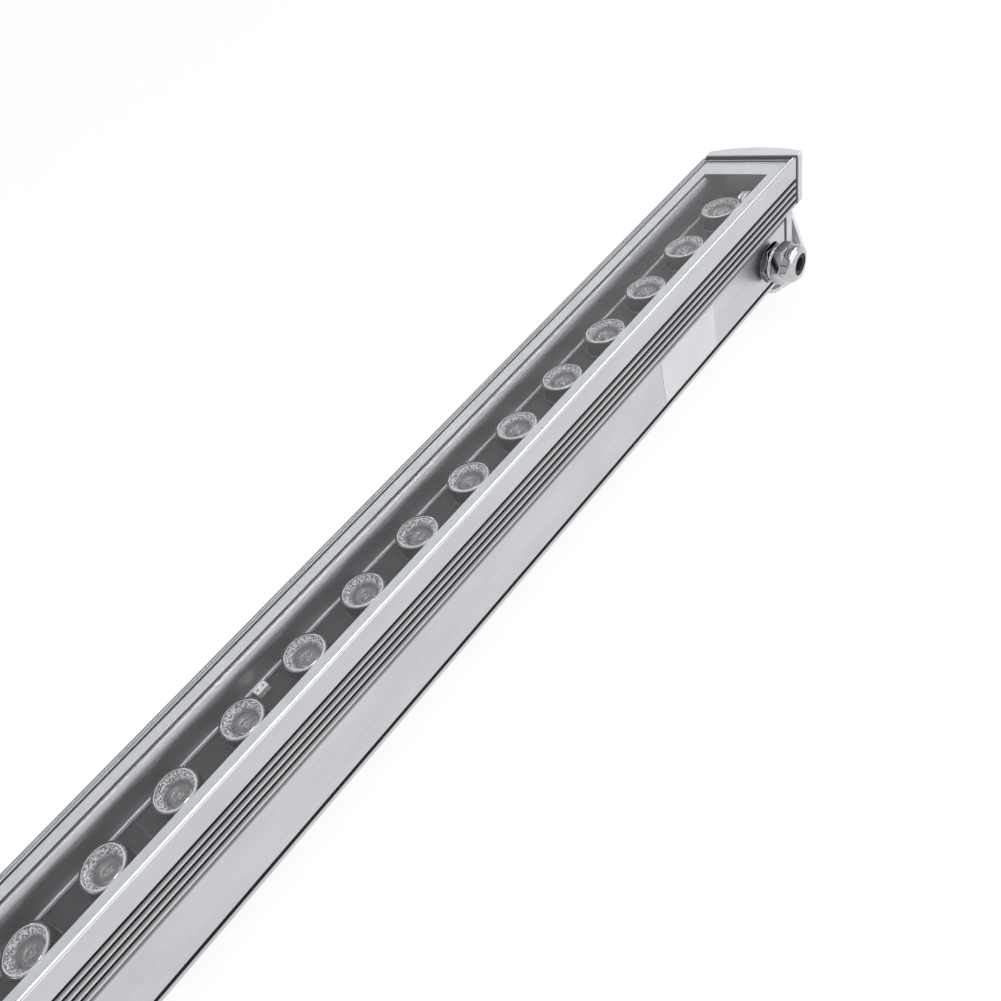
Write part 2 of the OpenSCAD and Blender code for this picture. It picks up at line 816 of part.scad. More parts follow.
module gland_locknut() {
    color(chrome) at_gland() translate([0, 0, -wall - locknut_t]) difference() {
        hex_prism(gland_af, locknut_t);
        translate([0, 0, -over]) cylinder(r = gland_r + fit, h = locknut_t + 2 * over);
    }
}

// Places a piece on the driver board, x from its far end
driver_z = lip_z - floor_drop + driver_spacer_h;
module at_driver() {
    translate([-half_l + driver_x, 0, driver_z]) children();
}
driver_holes = [for (x = [driver_hole_inset, driver_l - driver_hole_inset], s = [-1, 1])
    [x, s * (driver_w / 2 - driver_hole_inset)]];
module driver_board() {
    color([0.10, 0.35, 0.22]) at_driver() difference() {
        translate([0, -driver_w / 2, 0]) cube([driver_l, driver_w, driver_t]);
        for (p = driver_holes) translate([p[0], p[1], -over])
            cylinder(r = driver_screw_r + fit, h = driver_t + 2 * over);
    }
}
module driver_transformer() {
    color([0.85, 0.72, 0.25]) at_driver()
        translate([transformer_share * driver_l, 0, driver_t]) {
            translate([-transformer_size[0] / 2, -transformer_size[1] / 2, 0])
                cube([transformer_size[0], transformer_size[1], transformer_size[2] / 3]);
            translate([-transformer_size[0] / 3, -transformer_size[1] / 3, transformer_size[2] / 3])
                cube([transformer_size[0] * 2 / 3, transformer_size[1] * 2 / 3,
                    transformer_size[2] / 3]);
            translate([-transformer_size[0] / 2, -transformer_size[1] / 2,
                transformer_size[2] * 2 / 3])
                cube([transformer_size[0], transformer_size[1], transformer_size[2] / 3]);
        }
}
module driver_capacitors() {
    color([0.12, 0.14, 0.30]) at_driver() for (k = capacitor_shares)
        translate([k * driver_l, 0, driver_t]) cylinder(r = capacitor_r, h = capacitor_l);
}
module driver_terminals() {
    color([0.20, 0.50, 0.30]) at_driver()
        for (x = [1.5 * driver_hole_inset + driver_head_r,
            driver_l - 1.5 * driver_hole_inset - driver_head_r - terminal_size[0]])
            translate([x, -terminal_size[1] / 2, driver_t]) cube(terminal_size);
}
module driver_spacers() {
    color(white_plastic) at_driver() for (p = driver_holes)
        translate([p[0], p[1], -driver_spacer_h]) difference() {
            cylinder(r = driver_spacer_r, h = driver_spacer_h);
            translate([0, 0, driver_spacer_h / 4])
                cylinder(r = driver_screw_r + fit, h = driver_spacer_h);
        }
}
module driver_screws() {
    color(steel) at_driver() for (p = driver_holes) {
        translate([p[0], p[1], driver_t]) cylinder(r = driver_head_r, h = driver_head_h);
        translate([p[0], p[1], -driver_spacer_h / 2])
            cylinder(r = driver_screw_r, h = driver_spacer_h / 2 + driver_t);
    }
}

// A quarter of a ring of wire about the Y axis, from +X round to +Z
module wire_bend() {
    rotate([90, 0, 0]) rotate_extrude(angle = 90) translate([lead_bend, 0]) circle(lead_r);
}
module led_lead(y) {
    x0 = -half_l + lead_x;
    top_z = lip_z - lead_top_drop;
    low_z = lip_z - lead_foot_drop;
    end_x = -half_l + driver_x + 1.5 * driver_hole_inset + driver_head_r;
    translate([0, y, 0]) {
        rod_x(x0 + lead_bend, 0, low_z, lead_r, end_x - x0 - lead_bend);
        translate([x0 + lead_bend, 0, low_z + lead_bend]) rotate([0, 180, 0]) wire_bend();
        translate([x0, 0, low_z + lead_bend])
            cylinder(r = lead_r, h = top_z - low_z - 2 * lead_bend);
        translate([x0 + lead_bend, 0, top_z - lead_bend]) rotate([0, -90, 0]) wire_bend();
        rod_x(x0 + lead_bend, 0, top_z, lead_r, lead_run - 2 * lead_bend);
        translate([x0 + lead_run - lead_bend, 0, top_z - lead_bend]) wire_bend();
        translate([x0 + lead_run, 0, board_z]) cylinder(r = lead_r, h = top_z - lead_bend - board_z);
    }
}
module led_leads() {
    color(white_plastic) for (s = [-1, 1]) led_lead(lead_y + s * lead_gap / 2);
}
module lead_grommet() {
    color(black_rubber) translate([-half_l + lead_x, lead_y, lip_z - chamber_drop])
        difference() {
            union() {
                cylinder(r = grommet_hole_r, h = shelf_t);
                translate([0, 0, shelf_t]) cylinder(r = grommet_r, h = grommet_lip);
                translate([0, 0, -grommet_lip]) cylinder(r = grommet_r, h = grommet_lip);
            }
            translate([0, 0, -shelf_t])
                cylinder(r = grommet_bore_r, h = 3 * shelf_t);
        }
}
module rating_label() {
    color([0.93, 0.93, 0.94]) translate([-half_l + label_x, low_w / 2, lip_z - label_drop - label_h])
        cube([label_l, label_t, label_h]);
}

housing();
glass_cover();
glass_print();
glass_sealant();
reflector_left();
reflector_right();
thermal_pad();
led_board_far();
led_board_near();
board_screws();
board_connectors();
led_emitters();
lens_holders_far();
lens_holders_near();
lenses_far();
lenses_near();
end_gasket_far();
end_gasket_near();
end_cap_far();
end_cap_near();
end_cap_screws();
bracket_far();
bracket_near();
pivot_bolts();
pivot_spacers();
pivot_washers();
spring_washers();
gland_washer();
gland_body();
gland_insert();
gland_dome_nut();
gland_locknut();
driver_board();
driver_transformer();
driver_capacitors();
driver_terminals();
driver_spacers();
driver_screws();
led_leads();
lead_grommet();
rating_label();
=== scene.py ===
import math

import bmesh
import bpy
from mathutils import Matrix, Vector


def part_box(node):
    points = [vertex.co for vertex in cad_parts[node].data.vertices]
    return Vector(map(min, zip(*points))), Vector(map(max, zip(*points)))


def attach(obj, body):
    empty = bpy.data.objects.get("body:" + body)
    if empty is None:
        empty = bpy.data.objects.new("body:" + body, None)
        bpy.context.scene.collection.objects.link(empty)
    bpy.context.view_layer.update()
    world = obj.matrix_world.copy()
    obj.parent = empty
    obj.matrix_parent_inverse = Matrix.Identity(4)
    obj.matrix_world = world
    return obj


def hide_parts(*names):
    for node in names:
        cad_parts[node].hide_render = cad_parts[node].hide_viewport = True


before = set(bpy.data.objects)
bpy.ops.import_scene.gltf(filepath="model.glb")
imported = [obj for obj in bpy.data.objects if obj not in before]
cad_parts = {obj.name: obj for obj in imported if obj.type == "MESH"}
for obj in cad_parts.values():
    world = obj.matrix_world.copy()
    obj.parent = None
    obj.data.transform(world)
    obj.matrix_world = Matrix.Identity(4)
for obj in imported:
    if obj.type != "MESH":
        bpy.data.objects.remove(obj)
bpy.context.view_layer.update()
mm = 0.001

# The camera stands on the gland's side, above the middle of the lamp, and looks to the far end
photoView = {
    "place": (-24.4, 264.6, 327.9),  # mm, in the part's own frame
    "right": (-0.6323, 0.6992, -0.3337),
    "ahead": (-0.3108, -0.6235, -0.7174),
    "lensMm": 29.65,
    "sensorMm": 36.0,
    "shift": (0.0861, 0.1283),
    "clipMm": (5, 60000),
}


def placeCamera(view):
    data = bpy.data.cameras.new("photoCamera")
    data.sensor_width = view["sensorMm"]
    data.lens = view["lensMm"]
    data.shift_x, data.shift_y = view["shift"]
    data.clip_start, data.clip_end = (c * mm for c in view["clipMm"])
    camera = bpy.data.objects.new("photoCamera", data)
    bpy.context.scene.collection.objects.link(camera)
    back = -Vector(view["ahead"]).normalized()
    up = back.cross(Vector(view["right"])).normalized()
    right = up.cross(back)
    turn = Matrix((right, up, back)).transposed().to_4x4()
    camera.matrix_world = Matrix.Translation(Vector(view["place"]) * mm) @ turn
    bpy.context.scene.camera = camera


placeCamera(photoView)
print("camera placed")


def linearColour(hexText):
    channels = [int(hexText[i:i + 2], 16) / 255 for i in (1, 3, 5)]
    linear = [c / 12.92 if c <= 0.04045 else ((c + 0.055) / 1.055) ** 2.4 for c in channels]
    return (*linear, 1.0)


def addNode(tree, kind, settings=None, links=None):
    node = tree.nodes.new("ShaderNode" + kind)
    for name, value in (settings or {}).items():
        if isinstance(name, int) or name in node.inputs:
            node.inputs[name].default_value = value
        else:
            setattr(node, name, value)
    for name, source in (links or {}).items():
        tree.links.new(source, node.inputs[name])
    return node


def startMaterial(name):
    material = bpy.data.materials.new(name)
    material.use_nodes = True
    tree = material.node_tree
    tree.nodes.clear()
    output = addNode(tree, "OutputMaterial")
    place = addNode(tree, "TexCoord").outputs["Object"]
    return material, tree, output, place


def showShader(tree, output, shader):
    tree.links.new(shader.outputs[0], output.inputs["Surface"])


# Noise whose grains measure grain mm along X, Y and Z
def addGrain(tree, place, grain, detail=2.0, rough=0.5):
    stretch = [1 / (g * mm) for g in grain]
    moved = addNode(tree, "Mapping", {"Scale": stretch}, {"Vector": place})
    return addNode(tree, "TexNoise", {"Scale": 1.0, "Detail": detail, "Roughness": rough},
                   {"Vector": moved.outputs["Vector"]}).outputs["Fac"]


def addRange(tree, value, low, high, fromLow=0.3, fromHigh=0.7):
    return addNode(tree, "MapRange", {"From Min": fromLow, "From Max": fromHigh,
                                      "To Min": low, "To Max": high},
                   {"Value": value}).outputs["Result"]


def addBlend(tree, share, first, second):
    blend = addNode(tree, "Mix", {"data_type": "RGBA", 6: linearColour(first),
                                  7: linearColour(second)}, {0: share})
    return blend.outputs[2]


def addBump(tree, height, depthMm, strength=1.0, edgeMm=0.0, normal=None):
    links = {"Height": height}
    if edgeMm:
        normal = addNode(tree, "Bevel", {"samples": 4, "Radius": edgeMm * mm}).outputs["Normal"]
    if normal:
        links["Normal"] = normal
    return addNode(tree, "Bump", {"Distance": depthMm * mm, "Strength": strength},
                   links).outputs["Normal"]


# Painted shade: the colour is darkened where other surfaces lie within reachMm, in corners and next to
# the lamp's wall, as shade would fall there
def addPaintedShade(tree, colour, look):
    reach = addNode(tree, "AmbientOcclusion", {"samples": 8,
                                               "Distance": look["reachMm"] * mm}).outputs["AO"]
    lifted = addRange(tree, reach, 0.0, 1.0, look["closed"], 1.0)
    steep = addNode(tree, "Math", {"operation": "POWER", 1: look["steepness"]},
                    {0: lifted}).outputs[0]
    share = addRange(tree, steep, look["darkest"], 1.0, 0.0, 1.0)
    shade = addNode(tree, "Mix", {"data_type": "RGBA", "blend_type": "MULTIPLY", 0: 1.0},
                    {6: colour, 7: share})
    return shade.outputs[2]


# Soft shadow painted into the colour in and under the grooves. A dip is where it starts, is full, is
# still full and ends, in mm below the lip, and then its depth from 0 to 1
def addDips(tree, height, colour, topMm, look):
    drop = addNode(tree, "Math", {"operation": "MULTIPLY_ADD", 1: -1 / mm, 2: topMm},
                   {0: height}).outputs[0]
    depth = addRange(tree, drop, 0.0, 0.0)
    for start, full, stillFull, end, deep in look["dips"]:
        fall = addRange(tree, drop, 0.0, deep, start, full)
        dip = addNode(tree, "Math", {"operation": "MINIMUM"},
                      {0: fall, 1: addRange(tree, drop, deep, 0.0, stillFull, end)}).outputs[0]
        depth = addNode(tree, "Math", {"operation": "MAXIMUM"}, {0: depth, 1: dip}).outputs[0]
    lit = addNode(tree, "Math", {"operation": "POWER", 1: look["dipPower"]},
                  {0: addRange(tree, depth, 1.0, 0.0, 0.0, 1.0)}).outputs[0]
    share = addRange(tree, lit, look["dipDarkest"], 1.0, 0.0, 1.0)
    return addNode(tree, "Mix", {"data_type": "RGBA", "blend_type": "MULTIPLY", 0: 1.0},
                   {6: colour, 7: share}).outputs[2]


# Extruded aluminium, anodised clear: a pale satin metal with faint die lines along its length.
# The tops of its lips are drawn a little crowned, so that each falls off outwards.
anodisedLook = {
    "pale": "#d1d1d4",
    "deep": "#c7c7cb",
    # Painted shade: the flat tops of the lips take a colour of their own, a little darker than the
    # skin's mean
    "lip": "#cacacd",
    "lipBelowTopMm": (0.12, 0.03),
    "lipSlope": 0.45,
    "dieLineMm": (260, 0.5, 0.5),
    "lineShare": 0.45,
    "cloudMm": (60, 22, 22),
    "skinRange": (0.55, 0.95),
    "roughness": (0.34, 0.44),
    "depthMm": 0.012,
    "strength": 0.5,
    "edgeMm": 0.18,
    # Painted shadow: each dip darkens the colour in a groove, under the step below the fins and along
    # the rail near the foot
    "dips": [(12.6 + 4 * i, 12.9 + 4 * i, 13.5 + 4 * i, 14.8 + 4 * i, 1.0) for i in range(4)]
            + [(34.2, 34.5, 36.6, 38.8, 1.0), (67.8, 68.4, 70.2, 70.6, 0.6)],
    "dipDarkest": 0.11,
    "dipPower": 1.6,
}


def makeAnodised(name, look):
    material, tree, output, place = startMaterial(name)
    lines = addGrain(tree, place, look["dieLineMm"], 3.0)
    clouds = addGrain(tree, place, look["cloudMm"])
    mixed = addNode(tree, "Math", {"operation": "MULTIPLY_ADD", 1: look["lineShare"]},
                    {0: lines, 2: clouds}).outputs[0]
    skinShare = addRange(tree, mixed, 0.0, 1.0, *look["skinRange"])
    skin = addBlend(tree, skinShare, look["pale"], look["deep"])
    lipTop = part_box("housing")[1].z
    axes = addNode(tree, "SeparateXYZ", None, {0: place}).outputs
    # Painted shadow in the grooves, by height
    shaded = addDips(tree, axes["Z"], skin, lipTop / mm, look)
    lipRange = [lipTop - d * mm for d in look["lipBelowTopMm"]]
    lipShare = addRange(tree, axes["Z"], 0.0, 1.0, *lipRange)
    # Painted shade on the flat tops of the lips
    base = addNode(tree, "Mix", {"data_type": "RGBA", 7: linearColour(look["lip"])},
                   {0: lipShare, 6: shaded}).outputs[2]
    outwards = addNode(tree, "Math", {"operation": "ABSOLUTE"}, {0: axes["Y"]}).outputs[0]
    slope = addNode(tree, "Math", {"operation": "MULTIPLY", 1: -look["lipSlope"] / mm},
                    {0: outwards}).outputs[0]
    crown = addNode(tree, "Math", {"operation": "MULTIPLY"}, {0: slope, 1: lipShare}).outputs[0]
    crowned = addBump(tree, crown, 1.0, 1.0, look["edgeMm"])
    shader = addNode(tree, "BsdfPrincipled", {"Metallic": 1.0}, {
        "Base Color": base,
        "Roughness": addRange(tree, lines, *look["roughness"]),
        "Normal": addBump(tree, lines, look["depthMm"], look["strength"], 0.0, crowned),
    })
    showShader(tree, output, shader)
    return material


# Cast aluminium, blasted and anodised: paler and duller than the channel, finely pitted
castLook = {
    "pale": "#cecdd2",
    "deep": "#c5c4c9",
    "metal": 0.55,  # the blasted skin scatters half of the light
    "pitMm": (0.6, 0.6, 0.6),
    "cloudMm": (14, 14, 14),
    "roughness": (0.40, 0.50),
    "depthMm": 0.02,
    "strength": 0.6,
    "edgeMm": 0.35,
}


def makeCast(name, look):
    material, tree, output, place = startMaterial(name)
    pits = addGrain(tree, place, look["pitMm"], 2.0)
    clouds = addGrain(tree, place, look["cloudMm"])
    shader = addNode(tree, "BsdfPrincipled", {"Metallic": look["metal"]}, {
        "Base Color": addBlend(tree, addRange(tree, clouds, 0.0, 1.0), look["pale"], look["deep"]),
        "Roughness": addRange(tree, pits, *look["roughness"]),
        "Normal": addBump(tree, pits, look["depthMm"], look["strength"], look["edgeMm"]),
    })
    showShader(tree, output, shader)
    return material


# Rolled aluminium sheet with a satin anodised skin: broad soft highlights drawn out along the roll
reflectorLook = {
    "pale": "#9c9c9f",
    "deep": "#949497",
    "metal": 1.0,
    "rollMm": (90, 0.5, 0.5),
    "roughness": (0.38, 0.44),
    "depthMm": 0.003,
    "edgeMm": 0.08,
}
# Stainless steel plate, brushed along the leg: pale, with short fine scratches
plateLook = {
    "pale": "#dcdddf",
    "deep": "#d1d2d5",
    "metal": 0.6,  # brushed by hand, it scatters much of the light
    "rollMm": (0.3, 0.4, 16),
    "roughness": (0.26, 0.38),
    "depthMm": 0.01,
    "edgeMm": 0.3,
}
# Turned stainless steel of screws and washers: bright with soft rings of wear
fastenerLook = {
    "pale": "#c6c7c9",
    "deep": "#a9abae",
    "metal": 1.0,
    "rollMm": (0.8, 0.8, 0.8),
    "roughness": (0.18, 0.34),
    "depthMm": 0.008,
    "edgeMm": 0.1,
}
rolledStrength = 0.4


def makeRolled(name, look):
    material, tree, output, place = startMaterial(name)
    lines = addGrain(tree, place, look["rollMm"], 3.0)
    share = addRange(tree, lines, 0.0, 1.0)
    shader = addNode(tree, "BsdfPrincipled", {"Metallic": look["metal"]}, {
        "Base Color": addBlend(tree, share, look["pale"], look["deep"]),
        "Roughness": addRange(tree, lines, *look["roughness"]),
        "Normal": addBump(tree, lines, look["depthMm"], rolledStrength, look["edgeMm"]),
    })
    showShader(tree, output, shader)
    return material


# Nickel plate on brass: a deep grey mirror with a few marks from the spanner. Shade is painted dark
# into its corners, and highlights near white onto its rounded edges
nickelLook = {
    "pale": "#cacacc",
    "deep": "#b2b2b5",
    "paintedEdgeHighlight": "#f0f0f2",  # painted highlight: rounded edges coloured near white
    "paintedHighlightMm": 0.45,
    "paintedHighlightBend": (0.9, 0.985),  # cosine between the rounded edge and its flat: highlighted, plain
    "markMm": (3.0, 0.25, 3.0),
    "roughness": (0.05, 0.12),
    "depthMm": 0.004,
    "strength": 0.3,
    "edgeMm": 0.3,
    "reachMm": 14.0,
    "closed": 0.2,
    "darkest": 0.08,
    "steepness": 3.2,
}


def makeNickel(name, look):
    material, tree, output, place = startMaterial(name)
    marks = addGrain(tree, place, look["markMm"], 4.0, 0.6)
    plate = addBlend(tree, addRange(tree, marks, 0.0, 1.0), look["pale"], look["deep"])
    # Painted shade: the plate's colour darkened in its corners
    shaded = addPaintedShade(tree, plate, look)
    # Painted highlight: the rounded edges found by the bevel are coloured near white
    rounded = addNode(tree, "Bevel", {"samples": 6, "Radius": look["paintedHighlightMm"] * mm}).outputs[0]
    flat = addNode(tree, "NewGeometry").outputs["True Normal"]
    bend = addNode(tree, "VectorMath", {"operation": "DOT_PRODUCT"},
                   {0: rounded, 1: flat}).outputs["Value"]
    paintedHighlightShare = addRange(tree, bend, 1.0, 0.0, *look["paintedHighlightBend"])
    paintedEdgeHighlight = addNode(tree, "Mix", {"data_type": "RGBA", 7: linearColour(look["paintedEdgeHighlight"])},
                   {0: paintedHighlightShare, 6: shaded}).outputs[2]
    shader = addNode(tree, "BsdfPrincipled", {"Metallic": 1.0}, {
        "Base Color": paintedEdgeHighlight,
        "Roughness": addRange(tree, marks, *look["roughness"]),
        "Normal": addBump(tree, marks, look["depthMm"], look["strength"], look["edgeMm"]),
    })
    showShader(tree, output, shader)
    return material


# Tempered soda-lime glass, polished: clear, it lifts what lies under it and shines at a low angle
glassLook = {"tint": "#fdfcfd", "ior": 1.52, "roughness": 0.0, "clear": 1.0}
# Moulded acrylic: clear with a slight haze, it bends and gathers the light
acrylicLook = {"tint": "#f6f7f8", "ior": 1.49, "roughness": 0.05, "clear": 0.97}


# Light from the lamps goes straight through, so that what lies behind is lit
def makeClear(name, look):
    material, tree, output, _ = startMaterial(name)
    tint = linearColour(look["tint"])
    body = addNode(tree, "BsdfPrincipled", {
        "Base Color": tint,
        "Transmission Weight": look["clear"],
        "IOR": look["ior"],
        "Roughness": look["roughness"],
    })
    through = addNode(tree, "BsdfTransparent", {"Color": tint})
    path = addNode(tree, "LightPath")
    mix = addNode(tree, "MixShader", None, {0: path.outputs["Is Shadow Ray"],
                                            1: body.outputs[0], 2: through.outputs[0]})
    showShader(tree, output, mix)
    return material


# Facets of the lens wall: the light of their total reflection is painted into their colour, pale and
# speckled near the rim, and dark lower down where it fails
facetLook = {
    "pale": "#fdfdfe",
    "deep": "#5c5c5f",
    "low": "#3c3c3e",
    "metal": 0.2,  # the moulded facets scatter most of the light
    "lowMm": (2.2, 4.4),  # above the board
    "spotMm": (0.9, 0.9, 0.9),
    "spotShare": (0.47, 0.53),
    "roughness": (0.08, 0.18),
    "depthMm": 0.06,
    "strength": 0.4,
}


def makeFacet(name, look):
    material, tree, output, place = startMaterial(name)
    spots = addGrain(tree, place, look["spotMm"], 3.0)
    height = addNode(tree, "SeparateXYZ", None, {0: place}).outputs["Z"]
    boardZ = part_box("led_board_far")[1].z
    # Painted reflection: pale speckled colour above lowMm, the dark low colour below
    paintedReflectionShare = addRange(tree, height, 0.0, 1.0, *(boardZ + h * mm for h in look["lowMm"]))
    spotted = addRange(tree, spots, 0.0, 1.0, *look["spotShare"])
    paintedSparkle = addBlend(tree, spotted, look["pale"], look["deep"])
    colour = addNode(tree, "Mix", {"data_type": "RGBA", 6: linearColour(look["low"])},
                     {0: paintedReflectionShare, 7: paintedSparkle}).outputs[2]
    shader = addNode(tree, "BsdfPrincipled", {"Metallic": look["metal"]}, {
        "Base Color": colour,
        "Roughness": addRange(tree, spots, *look["roughness"]),
        "Normal": addBump(tree, spots, look["depthMm"], look["strength"]),
    })
    showShader(tree, output, shader)
    return material


# Plastics, rubber, print and boards share one build: a colour that drifts and a fine grain
softLooks = {
    # Ceramic ink fired on the glass: smooth pale blue grey
    "ceramicPrint": {"pale": "#ebeff0", "deep": "#e6eaeb", "grainMm": 1.2, "roughness": (0.35, 0.45),
                     "depthMm": 0.004, "ior": 1.5},
    # Neutral silicone bead, tooled: soft grey with a dull skin
    "siliconeBead": {"pale": "#a3abac", "deep": "#98a0a1", "grainMm": 2.5, "roughness": (0.35, 0.5),
                     "depthMm": 0.05, "ior": 1.41},
    # Moulded EPDM rubber: near black, matt, faintly grained
    "mouldedRubber": {"pale": "#2a2a2c", "deep": "#1e1e20", "grainMm": 0.7, "roughness": (0.5, 0.68),
                      "depthMm": 0.03, "ior": 1.5},
    # Silicone heat pad: grey blue, powdery
    "heatPad": {"pale": "#8f98a2", "deep": "#7f8893", "grainMm": 0.9, "roughness": (0.7, 0.85),
                "depthMm": 0.02, "ior": 1.45},
    # Black solder mask on an aluminium board: smooth satin lacquer
    "blackMask": {"pale": "#18181a", "deep": "#141416", "grainMm": 2.2, "roughness": (0.42, 0.48),
                  "depthMm": 0.002, "ior": 1.55},
    # Green solder mask on glass fibre: the driver's board
    "greenMask": {"pale": "#1f6a43", "deep": "#155034", "grainMm": 2.0, "roughness": (0.2, 0.32),
                  "depthMm": 0.01, "ior": 1.55},
    # Black glass-filled nylon, moulded: satin with a slight bloom
    "blackNylon": {"pale": "#242426", "deep": "#18181a", "grainMm": 0.5, "roughness": (0.32, 0.45),
                   "depthMm": 0.01, "ior": 1.53},
    # Painted highlight: a grey ring drawn as resin at the foot of each holder, standing for the light
    # along the holder's edge
    "holderFootHighlight": {"pale": "#77777a", "deep": "#68686b", "grainMm": 0.8, "roughness": (0.25, 0.35),
                    "depthMm": 0.01, "ior": 1.5},
    # Frosted rim of a lens: acrylic left rough by the mould, milky
    "frostedRim": {"pale": "#d6d8da", "deep": "#c6c8ca", "grainMm": 0.5, "roughness": (0.3, 0.42),
                   "depthMm": 0.01, "ior": 1.49},
    # Natural nylon, moulded: grey white, waxy
    "whiteNylon": {"pale": "#bfbfbe", "deep": "#b5b5b4", "grainMm": 0.8, "roughness": (0.3, 0.42),
                   "depthMm": 0.01, "ior": 1.53},
    # Silicone lead insulation: pale, soft sheen
    "leadSleeve": {"pale": "#eeeeec", "deep": "#e2e2df", "grainMm": 1.5, "roughness": (0.38, 0.5),
                   "depthMm": 0.01, "ior": 1.41},
    # Phosphor and white ceramic of an emitter: chalky, warm
    "emitterPhosphor": {"pale": "#a5a295", "deep": "#989588", "grainMm": 0.4, "roughness": (0.35, 0.5),
                        "depthMm": 0.005, "ior": 1.5},
    # Satin polyester label film: cool pale grey, very flat
    "labelFilm": {"pale": "#cbcbce", "deep": "#c5c5c8", "grainMm": 3.0, "roughness": (0.3, 0.38),
                  "depthMm": 0.004, "ior": 1.5},
    # Yellow tape and dark sleeves of the driver's parts
    "windingTape": {"pale": "#c9a33a", "deep": "#b18a2c", "grainMm": 2.0, "roughness": (0.35, 0.5),
                    "depthMm": 0.02, "ior": 1.5},
    "capacitorSleeve": {"pale": "#23263f", "deep": "#1a1c30", "grainMm": 2.0, "roughness": (0.22, 0.34),
                        "depthMm": 0.01, "ior": 1.5},
    "terminalPlastic": {"pale": "#3f8f5f", "deep": "#347a50", "grainMm": 0.8, "roughness": (0.35, 0.48),
                        "depthMm": 0.01, "ior": 1.53},
}


softBuild = {"cloudGrains": 12, "strength": 0.5}


def makeSoft(name, look):
    material, tree, output, place = startMaterial(name)
    grain = addGrain(tree, place, [look["grainMm"]] * 3, 3.0)
    clouds = addGrain(tree, place, [look["grainMm"] * softBuild["cloudGrains"]] * 3)
    shader = addNode(tree, "BsdfPrincipled", {"IOR": look["ior"]}, {
        "Base Color": addBlend(tree, addRange(tree, clouds, 0.0, 1.0), look["pale"], look["deep"]),
        "Roughness": addRange(tree, grain, *look["roughness"]),
        "Normal": addBump(tree, grain, look["depthMm"], softBuild["strength"]),
    })
    showShader(tree, output, shader)
    return material


materials = {
    "anodised": makeAnodised("anodisedAluminium", anodisedLook),
    "cast": makeCast("blastedCastAluminium", castLook),
    "reflector": makeRolled("brightRolledAluminium", reflectorLook),
    "plate": makeRolled("brushedStainlessPlate", plateLook),
    "fastener": makeRolled("turnedStainless", fastenerLook),
    "nickel": makeNickel("nickelPlatedBrass", nickelLook),
    "glass": makeClear("temperedGlass", glassLook),
    "acrylic": makeClear("mouldedAcrylic", acrylicLook),
    "facet": makeFacet("paintedReflectionLensFacets", facetLook),
}
for lookName, look in softLooks.items():
    materials[lookName] = makeSoft(lookName, look)
print("materials made:", len(materials))

nodeFinish = {
    "housing": "anodised", "glass_cover": "glass", "glass_print": "ceramicPrint",
    "glass_sealant": "siliconeBead", "reflector_left": "reflector",
    "reflector_right": "reflector", "thermal_pad": "heatPad",
    "led_board_far": "blackMask", "led_board_near": "blackMask",
    "board_screws": "fastener", "board_connectors": "whiteNylon",
    "led_emitters": "emitterPhosphor", "lens_holders_far": "blackNylon",
    "lens_holders_near": "blackNylon", "lenses_far": "acrylic", "lenses_near": "acrylic",
    "end_gasket_far": "mouldedRubber", "end_gasket_near": "mouldedRubber",
    "end_cap_far": "cast", "end_cap_near": "cast", "end_cap_screws": "fastener",
    "bracket_far": "plate", "bracket_near": "plate", "pivot_bolts": "fastener",
    "pivot_spacers": "whiteNylon", "pivot_washers": "fastener", "spring_washers": "fastener",
    "gland_washer": "mouldedRubber", "gland_body": "nickel", "gland_insert": "mouldedRubber",
    "gland_dome_nut": "nickel", "gland_locknut": "nickel", "driver_board": "greenMask",
    "driver_transformer": "windingTape", "driver_capacitors": "capacitorSleeve",
    "driver_terminals": "terminalPlastic", "driver_spacers": "whiteNylon",
    "driver_screws": "fastener", "led_leads": "leadSleeve", "lead_grommet": "mouldedRubber",
    "rating_label": "labelFilm",
}
for nodeName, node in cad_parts.items():
    node.data.materials.clear()
    node.data.materials.append(materials[nodeFinish[nodeName]])
print("finishes given to", len(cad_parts), "CAD nodes")


def makePiece(name, points, faces, finishes, smooth=None, replaced=(), parts=None):
    mesh = bpy.data.meshes.new(name)
    mesh.from_pydata([[c * mm for c in p] for p in points], [], faces)
    for finish in finishes:
        mesh.materials.append(materials[finish])
    for i, face in enumerate(mesh.polygons):
        face.use_smooth = True if smooth is None else smooth[i]
        face.material_index = 0 if parts is None else parts[i]
    shape = bmesh.new()
    shape.from_mesh(mesh)
    bmesh.ops.recalc_face_normals(shape, faces=shape.faces)
    shape.to_mesh(mesh)
    shape.free()
    mesh.update()
    piece = bpy.data.objects.new(name, mesh)
    bpy.context.scene.collection.objects.link(piece)
    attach(piece, "lamp")
    if replaced:
        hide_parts(*replaced)
    return piece


# Collimator lens, in mm above its board: cup below, faceted mirror wall, flange, rim bead and dome
lensShape = {
    "pitch": 40.65,
    "perBoard": 12,
    "segments": 60,
    "cup": ((0.0, 2.55), (0.9, 2.62), (1.8, 2.86), (2.45, 3.15), (2.7, 3.2), (2.7, 1.0), (5.0, 1.0)),
    "wallStart": (5.0, 1.0),
    "wallEnd": (9.9, 6.9),
    "wallRings": 10,
    "facetMm": 0.16,
    "rim": ((10.85, 6.9), (10.85, 7.95), (10.75, 8.08), (10.5, 8.1), (10.42, 8.0), (10.38, 7.9),
            (10.3, 7.9), (10.26, 8.25), (10.16, 8.46), (9.98, 8.55), (9.8, 8.5), (9.68, 8.36)),
    "frostedStrips": (6, 10),  # counted up from the first point of the rim
    "dome": ((9.4, 8.42), (8.6, 8.56), (7.4, 8.71), (6.0, 8.83), (4.4, 8.92), (2.8, 8.97),
             (1.2, 8.995), (0.0, 9.0)),
}


def lensProfile(shape):
    r0, z0 = shape["wallStart"]
    r1, z1 = shape["wallEnd"]
    wall = []
    for i in range(1, shape["wallRings"] + 1):
        t = i / shape["wallRings"]
        wall.append((r0 + (r1 - r0) * t, z0 + (z1 - z0) * t))
    return list(shape["cup"]), wall, list(shape["rim"]) + list(shape["dome"])


